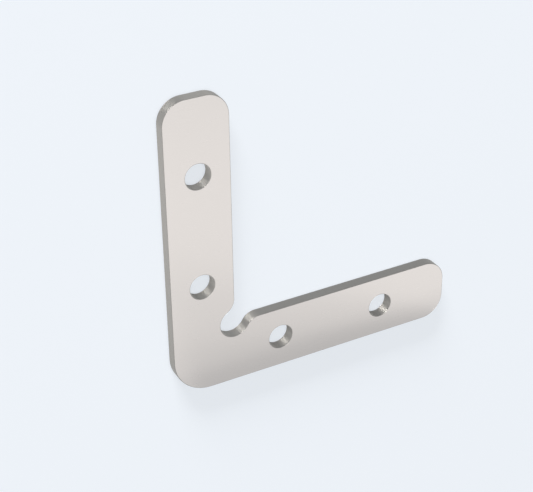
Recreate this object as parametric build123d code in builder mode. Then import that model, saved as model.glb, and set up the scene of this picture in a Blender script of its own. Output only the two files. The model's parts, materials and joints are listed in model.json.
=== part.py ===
from build123d import *
import os

# Corner coupler
# A flat L-shaped plate that joins two frame members at a right angle. It is cut in one piece from
# sheet steel: two equal arms, two screw holes in each, and a round relief at the inner corner.
# It lies on its back face. Its arms run along +X and +Y, and their centre lines cross at the origin.

# Sheet and arms, in mm
sheet_thickness = 3.0
arm_length = 80.0  # from the outer edge of the other arm to the tip
arm_width = 17.0

# Rounded corners of the outline
outer_corner_radius = 10.0
tip_corner_radius = 6.0

# Relief at the inner corner, which clears the corner of what is joined
relief_radius = 4.0
relief_lead_in_radius = 4.0  # eases the relief into the inner edge of each arm

# Screw holes, on the centre line of each arm
hole_diameter = 6.6
holes_per_arm = 2
first_hole_distance = 30.0  # from the outer edge of the other arm
hole_pitch = 30.0

# All edges are lightly broken after cutting
edge_break = 0.15

outer_edge = -arm_width / 2
inner_edge = arm_width / 2
hole_distances = [outer_edge + first_hole_distance + i * hole_pitch for i in range(holes_per_arm)]
hole_centres = [(d, 0) for d in hole_distances] + [(0, d) for d in hole_distances]

with BuildPart() as corner_plate:
    with BuildSketch(Plane.XY) as outline:
        # Two arms that share the square at the corner
        with Locations((outer_edge, outer_edge)):
            Rectangle(arm_length, arm_width, align=(Align.MIN, Align.MIN))
            Rectangle(arm_width, arm_length, align=(Align.MIN, Align.MIN))

        # Round outer corner and tips
        x_tip_corners = outline.vertices().group_by(Axis.X)[-1]
        y_tip_corners = outline.vertices().group_by(Axis.Y)[-1]
        fillet(x_tip_corners + y_tip_corners, tip_corner_radius)
        fillet(outline.vertices().sort_by_distance((outer_edge, outer_edge))[0], outer_corner_radius)

        # Round relief, centred on the inner corner, with both sides of its mouth rounded over
        with Locations((inner_edge, inner_edge)):
            Circle(relief_radius, mode=Mode.SUBTRACT)
        mouth_corners = outline.vertices().sort_by_distance((inner_edge, inner_edge))[:2]
        fillet(mouth_corners, relief_lead_in_radius)
    extrude(amount=sheet_thickness)

    with Locations(*hole_centres):
        Hole(hole_diameter / 2)

    # Break the edges of the back and front faces, those of the holes included
    rims = corner_plate.edges().group_by(Axis.Z)
    chamfer(rims[0] + rims[-1], edge_break)

corner_plate.part.label = "corner_plate"
os.makedirs("parts", exist_ok=True)
export_step(corner_plate.part, "parts/corner_plate.step")
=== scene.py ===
import json
import math

import bmesh
import bpy
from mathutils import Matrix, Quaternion, Vector


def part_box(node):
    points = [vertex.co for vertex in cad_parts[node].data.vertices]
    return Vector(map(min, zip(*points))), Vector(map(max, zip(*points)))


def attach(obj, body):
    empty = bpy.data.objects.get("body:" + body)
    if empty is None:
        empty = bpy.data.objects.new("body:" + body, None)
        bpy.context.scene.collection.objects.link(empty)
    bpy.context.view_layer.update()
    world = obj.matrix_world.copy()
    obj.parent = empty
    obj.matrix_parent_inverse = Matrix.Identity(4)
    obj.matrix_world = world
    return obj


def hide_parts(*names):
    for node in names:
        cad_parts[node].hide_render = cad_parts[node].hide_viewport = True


# Corner coupler: a flat L-shaped plate of satin stainless steel, cut in one piece from sheet, lying
# on its back face. The plate is built here as a fine smooth mesh in the exact form of the solid,
# with rounded edges, and gets one finish for its rolled faces and another for its cut edges.

bl_info = {
    "name": "Corner coupler",
    "version": (1, 0, 0),
    "blender": (4, 5, 0),
    "location": "3D View > Sidebar > Coupler",
    "description": "Builds and finishes a flat corner plate of satin stainless steel, and lights it",
    "category": "Object",
}

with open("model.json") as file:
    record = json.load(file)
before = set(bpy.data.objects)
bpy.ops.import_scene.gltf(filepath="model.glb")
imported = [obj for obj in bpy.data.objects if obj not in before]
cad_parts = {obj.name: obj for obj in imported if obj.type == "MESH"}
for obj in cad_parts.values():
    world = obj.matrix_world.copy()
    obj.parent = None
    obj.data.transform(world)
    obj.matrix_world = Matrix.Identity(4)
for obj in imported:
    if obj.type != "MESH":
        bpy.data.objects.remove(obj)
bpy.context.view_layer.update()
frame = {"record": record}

MM = 0.001
PLATE_NODE = "corner_plate"
GRAIN_UV = "grain"
FLOOR = "floor"

# The plate's faces, by the sign of their normal's Z, and its two material slots
FRONT, BACK = 1, -1
ROLLED_SLOT, GROUND_SLOT = 0, 1


def linear(hex_code):
    """The linear colour of an sRGB hex code such as "#c2bbb5", by the curve that sRGB defines."""
    channels = [int(hex_code[i:i + 2], 16) / 255 for i in (1, 3, 5)]
    return tuple(c / 12.92 if c <= 0.04045 else ((c + 0.055) / 1.055) ** 2.4 for c in channels)


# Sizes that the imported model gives

plate_low, plate_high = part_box(PLATE_NODE)
screw_patterns = [m for m in frame["record"]["mounts"] if m["kind"] == "bolt_pattern"]
screw_hole_radius = screw_patterns[0]["dims"]["hole_r_mm"] * MM


def screw_hole_centres():
    """The centre of each screw hole, from the two patterns in the record."""
    centres = []
    for pattern in screw_patterns:
        x, y, _ = pattern["pos_m"]
        half_x = pattern["dims"].get("spacing_x_mm", 0) * MM / 2
        half_y = pattern["dims"].get("spacing_y_mm", 0) * MM / 2
        centres += [Vector((x - half_x, y - half_y)), Vector((x + half_x, y + half_y))]
    return centres


# What a user would change


class PlateSizes(bpy.types.PropertyGroup):
    arm_length: bpy.props.FloatProperty(
        name="Arm length",
        description="From the outer edge of one arm to the tip of the other",
        default=plate_high.x - plate_low.x, unit="LENGTH", precision=5,
    )
    arm_width: bpy.props.FloatProperty(
        name="Arm width",
        description="Width of each arm, whose centre line runs through the origin",
        default=-2 * plate_low.x, unit="LENGTH", precision=5,
    )
    thickness: bpy.props.FloatProperty(
        name="Thickness",
        description="Thickness of the sheet",
        default=plate_high.z - plate_low.z, unit="LENGTH", precision=5,
    )
    outer_corner_radius: bpy.props.FloatProperty(
        name="Outer corner radius",
        description="Round of the outer corner, where the arms meet",
        default=10 * MM, unit="LENGTH", precision=5,
    )
    tip_corner_radius: bpy.props.FloatProperty(
        name="Tip corner radius",
        description="Round of both corners of each tip",
        default=6 * MM, unit="LENGTH", precision=5,
    )
    relief_radius: bpy.props.FloatProperty(
        name="Relief radius",
        description="Radius of the round relief, centred on the inner corner",
        default=4 * MM, unit="LENGTH", precision=5,
    )
    lead_in_radius: bpy.props.FloatProperty(
        name="Relief lead-in radius",
        description="Radius that eases the relief into the inner edge of each arm",
        default=4 * MM, unit="LENGTH", precision=5,
    )
    edge_round: bpy.props.FloatProperty(
        name="Edge round",
        description="How far the edges are rubbed round after cutting",
        default=0.15 * MM, unit="LENGTH", precision=5,
    )
    edge_steps: bpy.props.IntProperty(
        name="Edge steps",
        description="Strips across each rounded edge",
        default=4, min=1, max=12,
    )
    facet: bpy.props.FloatProperty(
        name="Facet",
        description="Length of one facet along a round stretch of the outline",
        default=0.2 * MM, unit="LENGTH", precision=5,
    )


class PlateFinish(bpy.types.PropertyGroup):
    face_color: bpy.props.FloatVectorProperty(
        name="Face colour",
        description="Bare stainless steel, a warm light grey",
        default=linear("#c2bbb5"), subtype="COLOR",
    )
    cut_color: bpy.props.FloatVectorProperty(
        name="Cut edge colour",
        description="Stainless steel, duller and darker where it is ground",
        default=linear("#aaa6a0"), subtype="COLOR",
    )
    grain_width: bpy.props.FloatProperty(
        name="Grain width",
        description="Width of one streak of the rolled faces",
        default=0.25 * MM, unit="LENGTH", precision=5,
    )
    grain_length: bpy.props.FloatProperty(
        name="Grain length",
        description="Length of one streak of the rolled faces",
        default=6 * MM, unit="LENGTH", precision=5,
    )
    scratch_width: bpy.props.FloatProperty(
        name="Scratch width",
        description="Width of one scratch of the ground edges",
        default=0.3 * MM, unit="LENGTH", precision=5,
    )
    scratch_length: bpy.props.FloatProperty(
        name="Scratch length",
        description="Length of one scratch of the ground edges",
        default=6 * MM, unit="LENGTH", precision=5,
    )


class StageSetup(bpy.types.PropertyGroup):
    backdrop_color: bpy.props.FloatVectorProperty(
        name="Backdrop colour",
        description="Pale cool grey of the floor and of what lies beyond it",
        default=linear("#eef3f9"), subtype="COLOR",
    )
    floor_size: bpy.props.FloatProperty(
        name="Floor size",
        description="Side of the square floor",
        default=6.0, unit="LENGTH",
    )
    floor_glow: bpy.props.FloatProperty(
        name="Floor glow",
        description="Share of the floor's brightness that no shadow takes away",
        default=0.68, min=0, max=1, subtype="FACTOR",
    )
    ambient: bpy.props.FloatProperty(
        name="Ambient",
        description="Strength of the even light from all round",
        default=0.3, min=0,
    )
    camera_place: bpy.props.FloatVectorProperty(
        name="Camera place",
        description="Where the camera stands",
        default=(-118.0 * MM, 196.1 * MM, 256.9 * MM), subtype="TRANSLATION", unit="LENGTH",
    )
    camera_tilt: bpy.props.FloatProperty(
        name="Camera tilt",
        description="Turn of the camera about the X axis, away from looking straight down",
        default=math.radians(30.29), subtype="ANGLE",
    )
    camera_turn: bpy.props.FloatProperty(
        name="Camera turn",
        description="Turn of the camera about the Y axis, towards the tip of the X arm",
        default=math.radians(28.12), subtype="ANGLE",
    )
    camera_roll: bpy.props.FloatProperty(
        name="Camera roll",
        description="Turn of the camera about its own line of sight",
        default=math.radians(0.75), subtype="ANGLE",
    )
    camera_lens: bpy.props.FloatProperty(
        name="Lens",
        description="Focal length on a 36 mm sensor",
        default=92.0, unit="CAMERA",
    )


# Outline of the plate

# A round stretch has at least this many facets, and points nearer each other than this are one
FEWEST_FACETS = 6
SAME_POINT = 0.002 * MM


def round_stretch(centre, radius, start, end, facet):
    """Points and outward normals along an arc, in degrees. A clockwise arc hollows the plate."""
    sweep = math.radians(end - start)
    steps = max(FEWEST_FACETS, math.ceil(abs(sweep) * radius / facet))
    side = math.copysign(1, sweep)
    stretch = []
    for i in range(steps + 1):
        angle = math.radians(start) + sweep * i / steps
        outward = Vector((math.cos(angle), math.sin(angle)))
        stretch.append((centre + outward * radius, outward * side))
    return stretch


def plate_outline(sizes):
    """The plate's outline, counterclockwise: its arcs, with the straight edges between their ends."""
    edge = sizes.arm_width / 2
    tip = sizes.arm_length - edge
    outer = sizes.outer_corner_radius - edge
    near = edge - sizes.tip_corner_radius
    far = tip - sizes.tip_corner_radius
    lead_in = sizes.lead_in_radius
    reach = sizes.relief_radius + lead_in
    lead_in_angle = math.degrees(math.asin(lead_in / reach))
    lead_in_start = edge + math.sqrt(reach ** 2 - lead_in ** 2)
    # Centre, radius, start and end of each: the X tip's two corners, the relief between its two
    # lead-ins, the Y tip's two corners and the outer corner
    arcs = [
        ((far, -near), sizes.tip_corner_radius, -90, 0),
        ((far, near), sizes.tip_corner_radius, 0, 90),
        ((lead_in_start, edge - lead_in), lead_in, 90, 180 - lead_in_angle),
        ((edge, edge), sizes.relief_radius, -lead_in_angle, lead_in_angle - 270),
        ((edge - lead_in, lead_in_start), lead_in, lead_in_angle - 90, 0),
        ((near, far), sizes.tip_corner_radius, 0, 90),
        ((-near, far), sizes.tip_corner_radius, 90, 180),
        ((outer, outer), sizes.outer_corner_radius, 180, 270),
    ]
    outline = []
    for centre, radius, start, end in arcs:
        stretch = round_stretch(Vector(centre), radius, start, end, sizes.facet)
        if outline and (stretch[0][0] - outline[-1][0]).length < SAME_POINT:
            stretch = stretch[1:]
        outline += stretch
    return outline


def hole_outline(centre, sizes):
    """The outline of one screw hole, clockwise, so that its normals point into the hole. The last
    point of its full circle repeats the first and is left out."""
    return round_stretch(centre, screw_hole_radius, 360, 0, sizes.facet)[:-1]


def edge_section(sizes):
    """The section of an edge from the front face to the back: inset, height and upward tilt."""
    section = []
    for side, core in ((FRONT, sizes.thickness - sizes.edge_round), (BACK, sizes.edge_round)):
        for i in range(sizes.edge_steps + 1):
            share = i / sizes.edge_steps
            tilt = math.radians(90) * (1 - share if side == FRONT else -share)
            inset = sizes.edge_round * (1 - math.cos(tilt))
            section.append((inset, core + sizes.edge_round * math.sin(tilt), tilt))
    return section


# Mesh of the plate


class PlateMesh:
    """Gathers the plate's rings of points, with a true normal and grain coordinates for each."""

    def __init__(self, sizes):
        self.bm = bmesh.new()
        self.uv = self.bm.loops.layers.uv.new(GRAIN_UV)
        self.section = edge_section(sizes)
        self.normals = []
        self.rims = {FRONT: [], BACK: []}

    def ring(self, outline, inset, height, tilt):
        """One ring of points: the outline, drawn in by the inset, at that height and tilt."""
        points = []
        for point, outward in outline:
            place = point - outward * inset
            points.append(self.bm.verts.new((place.x, place.y, height)))
            level = math.cos(tilt)
            self.normals.append((outward.x * level, outward.y * level, math.sin(tilt)))
        return points

    def add_edge(self, outline):
        """Walls along an outline. The grain's V runs along it and its U across, from front to back."""
        count = len(outline)
        rings = [self.ring(outline, *line) for line in self.section]
        steps = [(outline[(i + 1) % count][0] - outline[i][0]).length for i in range(count)]
        along = [sum(steps[:i]) for i in range(count + 1)]
        lines = [Vector((inset, height)) for inset, height, _ in self.section]
        across = 0
        for j in range(len(rings) - 1):
            step = (lines[j + 1] - lines[j]).length
            for i in range(count):
                k = (i + 1) % count
                face = self.bm.faces.new((rings[j][i], rings[j + 1][i], rings[j + 1][k], rings[j][k]))
                face.material_index = GROUND_SLOT
                coordinates = (
                    (across, along[i]), (across + step, along[i]),
                    (across + step, along[i + 1]), (across, along[i + 1]),
                )
                for loop, coordinate in zip(face.loops, coordinates):
                    loop[self.uv].uv = coordinate
            across += step
        for side, ring in ((FRONT, rings[0]), (BACK, rings[-1])):
            self.rims[side] += [self.bm.edges.get((ring[i], ring[(i + 1) % count])) for i in range(count)]

    def add_face(self, side):
        """A flat face between the rims. The grain's V runs along X, the way the sheet was rolled."""
        filled = bmesh.ops.triangle_fill(
            self.bm, edges=self.rims[side], use_beauty=True, normal=(0, 0, side),
        )
        for face in filled["geom"]:
            if isinstance(face, bmesh.types.BMFace):
                if face.normal.z * side < 0:
                    face.normal_flip()
                face.material_index = ROLLED_SLOT
                for loop in face.loops:
                    loop[self.uv].uv = (loop.vert.co.y, loop.vert.co.x)

    def finish(self, name):
        """The smooth mesh, with the normals gathered along the way."""
        for face in self.bm.faces:
            face.smooth = True
        mesh = bpy.data.meshes.new(name)
        self.bm.to_mesh(mesh)
        self.bm.free()
        mesh.normals_split_custom_set_from_vertices(self.normals)
        return mesh


# Materials

# Nearly all of a noise texture's values lie between these two
NOISE_LOW = 0.3
NOISE_HIGH = 0.7


def add_node(tree, kind, settings=None, links=None, **inputs):
    """A node of that kind, with its settings, its input values by name and what feeds them."""
    node = tree.nodes.new(kind)
    for key, value in (settings or {}).items():
        setattr(node, key, value)
    for key, value in inputs.items():
        node.inputs[key.replace("_", " ")].default_value = value
    for key, source in (links or {}).items():
        tree.links.new(source, node.inputs[key])
    return node


def new_material(name):
    """A new material and its empty node tree."""
    material = bpy.data.materials.new(name)
    material.use_nodes = True
    material.node_tree.nodes.clear()
    return material, material.node_tree


def streak_height(tree, width, length, detail, roughness):
    """Height of an uneven surface whose streaks are that wide and run that long along the grain's V."""
    grain_uv = add_node(tree, "ShaderNodeUVMap", {"uv_map": GRAIN_UV})
    stretch = add_node(
        tree, "ShaderNodeMapping", links={"Vector": grain_uv.outputs["UV"]},
        Scale=(1 / width, 1 / length, 1),
    )
    noise = add_node(
        tree, "ShaderNodeTexNoise", links={"Vector": stretch.outputs["Vector"]},
        Scale=1, Detail=detail, Roughness=roughness,
    )
    return noise.outputs["Fac"]


def rolled_stainless(finish):
    """Cold-rolled stainless sheet, skin-passed to a satin. To the eye it is even and soft: it mirrors
    its surroundings as a blurred gradient, with faint streaks along the way it was rolled."""
    # The real streaks are about 0.03 mm wide, and are drawn about a pixel wide so that they show
    material, tree = new_material("rolled_satin_stainless")
    streaks = streak_height(tree, finish.grain_width, finish.grain_length, detail=3, roughness=0.6)
    roughness = add_node(
        tree, "ShaderNodeMapRange", links={"Value": streaks},
        From_Min=NOISE_LOW, From_Max=NOISE_HIGH, To_Min=0.27, To_Max=0.31,
    )
    bump = add_node(
        tree, "ShaderNodeBump", links={"Height": streaks}, Strength=0.15, Distance=0.004 * MM,
    )
    steel = add_node(
        tree, "ShaderNodeBsdfPrincipled",
        links={"Roughness": roughness.outputs["Result"], "Normal": bump.outputs["Normal"]},
        Base_Color=(*finish.face_color, 1), Metallic=1,
    )
    add_node(tree, "ShaderNodeOutputMaterial", links={"Surface": steel.outputs["BSDF"]})
    return material


def ground_stainless(finish):
    """Stainless steel, cut and then ground along the outline: duller and darker than the faces.
    Its scratches run along the wall, so that a light draws a short bright band across it."""
    # The real scratches are about 0.05 mm wide, and are drawn about a pixel wide so that they show
    material, tree = new_material("ground_stainless_edge")
    scratches = streak_height(
        tree, finish.scratch_width, finish.scratch_length, detail=2, roughness=0.5,
    )
    roughness = add_node(
        tree, "ShaderNodeMapRange", links={"Value": scratches},
        From_Min=NOISE_LOW, From_Max=NOISE_HIGH, To_Min=0.53, To_Max=0.59,
    )
    bump = add_node(
        tree, "ShaderNodeBump", links={"Height": scratches}, Strength=0.02, Distance=0.01 * MM,
    )
    across = add_node(tree, "ShaderNodeTangent", {"direction_type": "UV_MAP", "uv_map": GRAIN_UV})
    steel = add_node(
        tree, "ShaderNodeBsdfPrincipled",
        links={
            "Roughness": roughness.outputs["Result"], "Normal": bump.outputs["Normal"],
            "Tangent": across.outputs["Tangent"],
        },
        Base_Color=(*finish.cut_color, 1), Metallic=1, Anisotropic=1,
    )
    add_node(tree, "ShaderNodeOutputMaterial", links={"Surface": steel.outputs["BSDF"]})
    return material


def is_seen(tree):
    """1 for a ray that comes from the camera or by way of metal or glass, and 0 for other rays."""
    path = add_node(tree, "ShaderNodeLightPath")
    camera_or_metal = add_node(
        tree, "ShaderNodeMath", {"operation": "MAXIMUM"},
        {0: path.outputs["Is Camera Ray"], 1: path.outputs["Is Glossy Ray"]},
    )
    seen = add_node(
        tree, "ShaderNodeMath", {"operation": "MAXIMUM"},
        {0: camera_or_metal.outputs["Value"], 1: path.outputs["Is Transmission Ray"]},
    )
    return seen.outputs["Value"]


def painted_floor(stage):
    """Matt pale floor that shows the backdrop's colour and keeps a soft shadow."""
    material, tree = new_material("matt_floor")
    glow_share = add_node(
        tree, "ShaderNodeMath", {"operation": "MULTIPLY"}, {0: is_seen(tree)},
    )
    glow_share.inputs[1].default_value = stage.floor_glow
    matt = add_node(tree, "ShaderNodeBsdfDiffuse", Color=(*stage.backdrop_color, 1))
    glow = add_node(tree, "ShaderNodeEmission", Color=(*stage.backdrop_color, 1), Strength=1)
    mix = add_node(
        tree, "ShaderNodeMixShader",
        links={0: glow_share.outputs["Value"], 1: matt.outputs["BSDF"], 2: glow.outputs["Emission"]},
    )
    add_node(tree, "ShaderNodeOutputMaterial", links={"Surface": mix.outputs["Shader"]})
    return material


def studio_world(stage):
    """Even light from all round, behind which the camera and the metal see the pale backdrop."""
    world = bpy.data.worlds.new("studio")
    world.use_nodes = True
    tree = world.node_tree
    tree.nodes.clear()
    even = add_node(tree, "ShaderNodeBackground", Color=(1, 1, 1, 1), Strength=stage.ambient)
    backdrop = add_node(tree, "ShaderNodeBackground", Color=(*stage.backdrop_color, 1), Strength=1)
    mix = add_node(
        tree, "ShaderNodeMixShader",
        links={0: is_seen(tree), 1: even.outputs["Background"], 2: backdrop.outputs["Background"]},
    )
    add_node(tree, "ShaderNodeOutputWorld", links={"Surface": mix.outputs["Shader"]})
    return world


# Lights, in metres and degrees. Brightness 1 is white, before a narrow grid gathers the light.

# The power that gives each square metre of a softbox brightness 1, and the spread without a grid
WHITE_POWER = 4
OPEN = 180

# Softboxes: name, where it stands, what it is aimed at, width and height, brightness, how wide its
# grid lets the light spread, and whether it lights the floor alone or shows in the metal alone. Each
# stands at a bearing from the lights' centre, counted from +X towards +Y, a distance and a height.
# The tall panels are dim, so that the faces stay below white where they mirror them.
LIGHTS_CENTRE = Vector((0.02, 0.02, 0))
SOFTBOXES = (
    ("high_floor_softbox", (0, 0, 1.6), (0.02, 0.02, 0), (0.9, 0.7), 3.9, OPEN, True),
    ("low_floor_softbox", (105, 2.36, 0.42), (0.02, 0.02, 0), (0.9, 0.6), 51, OPEN, True),
    ("edge_softbox", (126, 0.22, 0.56), (0.19, -0.19, 0), (0.3, 0.3), 1.75, 50, False),
    ("back_tall_panel", (90, 0.8, 1.1), (0.02, 0.02, 1.1), (0.5, 1.2), 0.35, OPEN, False),
    ("side_tall_panel", (188, 0.8, 0.8), (0.02, 0.02, 0.8), (0.9, 1.6), 0.37, OPEN, False),
    ("corner_tall_panel", (237, 0.8, 0.8), (0.02, 0.02, 0.8), (0.5, 1.6), 0.1, OPEN, False),
    ("tip_softbox", (83, 0.085, 0.04), (0, 0.06, 0), (0.04, 0.04), 0.65, OPEN, False),
)

# Tall panels that stand close behind the lower edge, each a step behind the last, and that the front
# face mirrors. For each, the height of its slanting lower edge at the panels' middle, the slope of
# that edge, and the brightness.
FACE_PANEL_X = 40 * MM
FACE_PANEL_Y = -13 * MM
FACE_PANEL_STEP = 1 * MM
FACE_PANEL_SIZE = (0.4, 0.3)
FACE_PANELS = (
    (17 * MM, 0, 0.16),
    (22 * MM, -0.3, 0.12),
    (52 * MM, -1, 0.17),
    (165 * MM, 4, 0.12),
)


def standing_place(bearing, distance, height):
    """The place at that bearing, distance and height from the lights' centre."""
    angle = math.radians(bearing)
    return LIGHTS_CENTRE + Vector((distance * math.cos(angle), distance * math.sin(angle), height))


def add_softbox(name, place, facing, size, brightness, spread, on_floor):
    """A rectangular area light, hidden from the camera. A light for the floor is tied to it, so that
    it spends no samples on the metal."""
    data = bpy.data.lights.new(name, "AREA")
    data.shape = "RECTANGLE"
    data.size, data.size_y = size
    data.energy = WHITE_POWER * brightness * size[0] * size[1]
    data.spread = math.radians(spread)
    softbox = bpy.data.objects.new(name, data)
    softbox.location = place
    softbox.rotation_mode = "QUATERNION"
    softbox.rotation_quaternion = facing
    softbox.visible_camera = False
    softbox.visible_diffuse = on_floor
    softbox.visible_glossy = not on_floor
    if on_floor:
        softbox.light_linking.receiver_collection = bpy.data.collections[FLOOR]
    bpy.context.scene.collection.objects.link(softbox)


def add_face_panel(number, height, slope, brightness):
    """One upright panel that faces the plate, turned about the middle of its lower edge."""
    turn = math.atan(slope)
    middle = Vector((-math.sin(turn), math.cos(turn))) * FACE_PANEL_SIZE[1] / 2
    place = (FACE_PANEL_X + middle.x, FACE_PANEL_Y - number * FACE_PANEL_STEP, height + middle.y)
    facing = Vector((0, 1, 0)).to_track_quat("-Z", "Y") @ Quaternion((0, 0, 1), turn)
    add_softbox(f"face_panel_{number}", place, facing, FACE_PANEL_SIZE, brightness, OPEN, False)


def add_lights():
    """Every softbox, turned towards what it is aimed at, and the face panels."""
    for name, stand, aim, *settings in SOFTBOXES:
        place = standing_place(*stand)
        facing = (Vector(aim) - place).to_track_quat("-Z", "Y")
        add_softbox(name, place, facing, *settings)
    for number, panel in enumerate(FACE_PANELS, 1):
        add_face_panel(number, *panel)


# Floor and camera

# The camera's sensor in millimetres, and how near and how far it sees in metres
SENSOR_WIDTH = 36
SIGHT_START = 0.01
SIGHT_END = 20


def add_floor(stage):
    """A wide square under the plate, also in a collection of its own that its softboxes light."""
    mesh = bpy.data.meshes.new(FLOOR)
    bm = bmesh.new()
    bmesh.ops.create_grid(bm, x_segments=1, y_segments=1, size=stage.floor_size / 2)
    bm.to_mesh(mesh)
    bm.free()
    floor = bpy.data.objects.new(FLOOR, mesh)
    floor.location.z = plate_low.z
    floor.data.materials.append(painted_floor(stage))
    bpy.context.scene.collection.objects.link(floor)
    bpy.data.collections.new(FLOOR).objects.link(floor)


def add_camera(stage):
    """The camera. It starts looking straight down, and is rolled, tilted and turned in that order."""
    data = bpy.data.cameras.new("camera")
    data.sensor_width = SENSOR_WIDTH
    data.lens = stage.camera_lens
    data.clip_start = SIGHT_START
    data.clip_end = SIGHT_END
    camera = bpy.data.objects.new("camera", data)
    camera.location = stage.camera_place
    camera.rotation_mode = "ZXY"
    camera.rotation_euler = (-stage.camera_tilt, -stage.camera_turn, -stage.camera_roll)
    bpy.context.scene.collection.objects.link(camera)
    bpy.context.scene.camera = camera


# Steps that build it all, and their panel


class COUPLER_OT_corner_plate(bpy.types.Operator):
    """Build the corner plate and give it its finish"""

    bl_idname = "coupler.corner_plate"
    bl_label = "Build corner plate"

    def execute(self, context):
        sizes, finish = context.scene.plate_sizes, context.scene.plate_finish
        builder = PlateMesh(sizes)
        builder.add_edge(plate_outline(sizes))
        for centre in screw_hole_centres():
            builder.add_edge(hole_outline(centre, sizes))
        builder.add_face(FRONT)
        builder.add_face(BACK)
        plate = bpy.data.objects.new("plate", builder.finish("plate"))
        context.scene.collection.objects.link(plate)
        # In the order of the slots
        plate.data.materials.append(rolled_stainless(finish))
        plate.data.materials.append(ground_stainless(finish))
        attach(plate, "root")
        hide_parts(PLATE_NODE)
        return {"FINISHED"}


class COUPLER_OT_stage(bpy.types.Operator):
    """Set up the floor, the light and the camera"""

    bl_idname = "coupler.stage"
    bl_label = "Set up stage"

    def execute(self, context):
        stage = context.scene.stage_setup
        add_floor(stage)
        context.scene.world = studio_world(stage)
        add_lights()
        add_camera(stage)
        context.scene.view_settings.view_transform = "Standard"
        return {"FINISHED"}


# Properties that every group has, and that a user has no use for
INNER_KEYS = ("rna_type", "name")


class COUPLER_PT_panel(bpy.types.Panel):
    """Panel that lists the sizes, the finish, the stage and the steps that use them"""

    bl_idname = "COUPLER_PT_panel"
    bl_label = "Corner coupler"
    bl_space_type = "VIEW_3D"
    bl_region_type = "UI"
    bl_category = "Coupler"

    def draw(self, context):
        scene = context.scene
        for group in (scene.plate_sizes, scene.plate_finish, scene.stage_setup):
            box = self.layout.box()
            for key in group.bl_rna.properties.keys():
                if key not in INNER_KEYS:
                    box.prop(group, key)
        self.layout.operator(COUPLER_OT_corner_plate.bl_idname)
        self.layout.operator(COUPLER_OT_stage.bl_idname)


CLASSES = (
    PlateSizes,
    PlateFinish,
    StageSetup,
    COUPLER_OT_corner_plate,
    COUPLER_OT_stage,
    COUPLER_PT_panel,
)


def register():
    for cls in CLASSES:
        bpy.utils.register_class(cls)
    bpy.types.Scene.plate_sizes = bpy.props.PointerProperty(type=PlateSizes)
    bpy.types.Scene.plate_finish = bpy.props.PointerProperty(type=PlateFinish)
    bpy.types.Scene.stage_setup = bpy.props.PointerProperty(type=StageSetup)


def unregister():
    del bpy.types.Scene.stage_setup
    del bpy.types.Scene.plate_finish
    del bpy.types.Scene.plate_sizes
    for cls in reversed(CLASSES):
        bpy.utils.unregister_class(cls)


def main():
    register()
    bpy.ops.coupler.corner_plate()
    bpy.ops.coupler.stage()


if __name__ == "__main__":
    main()
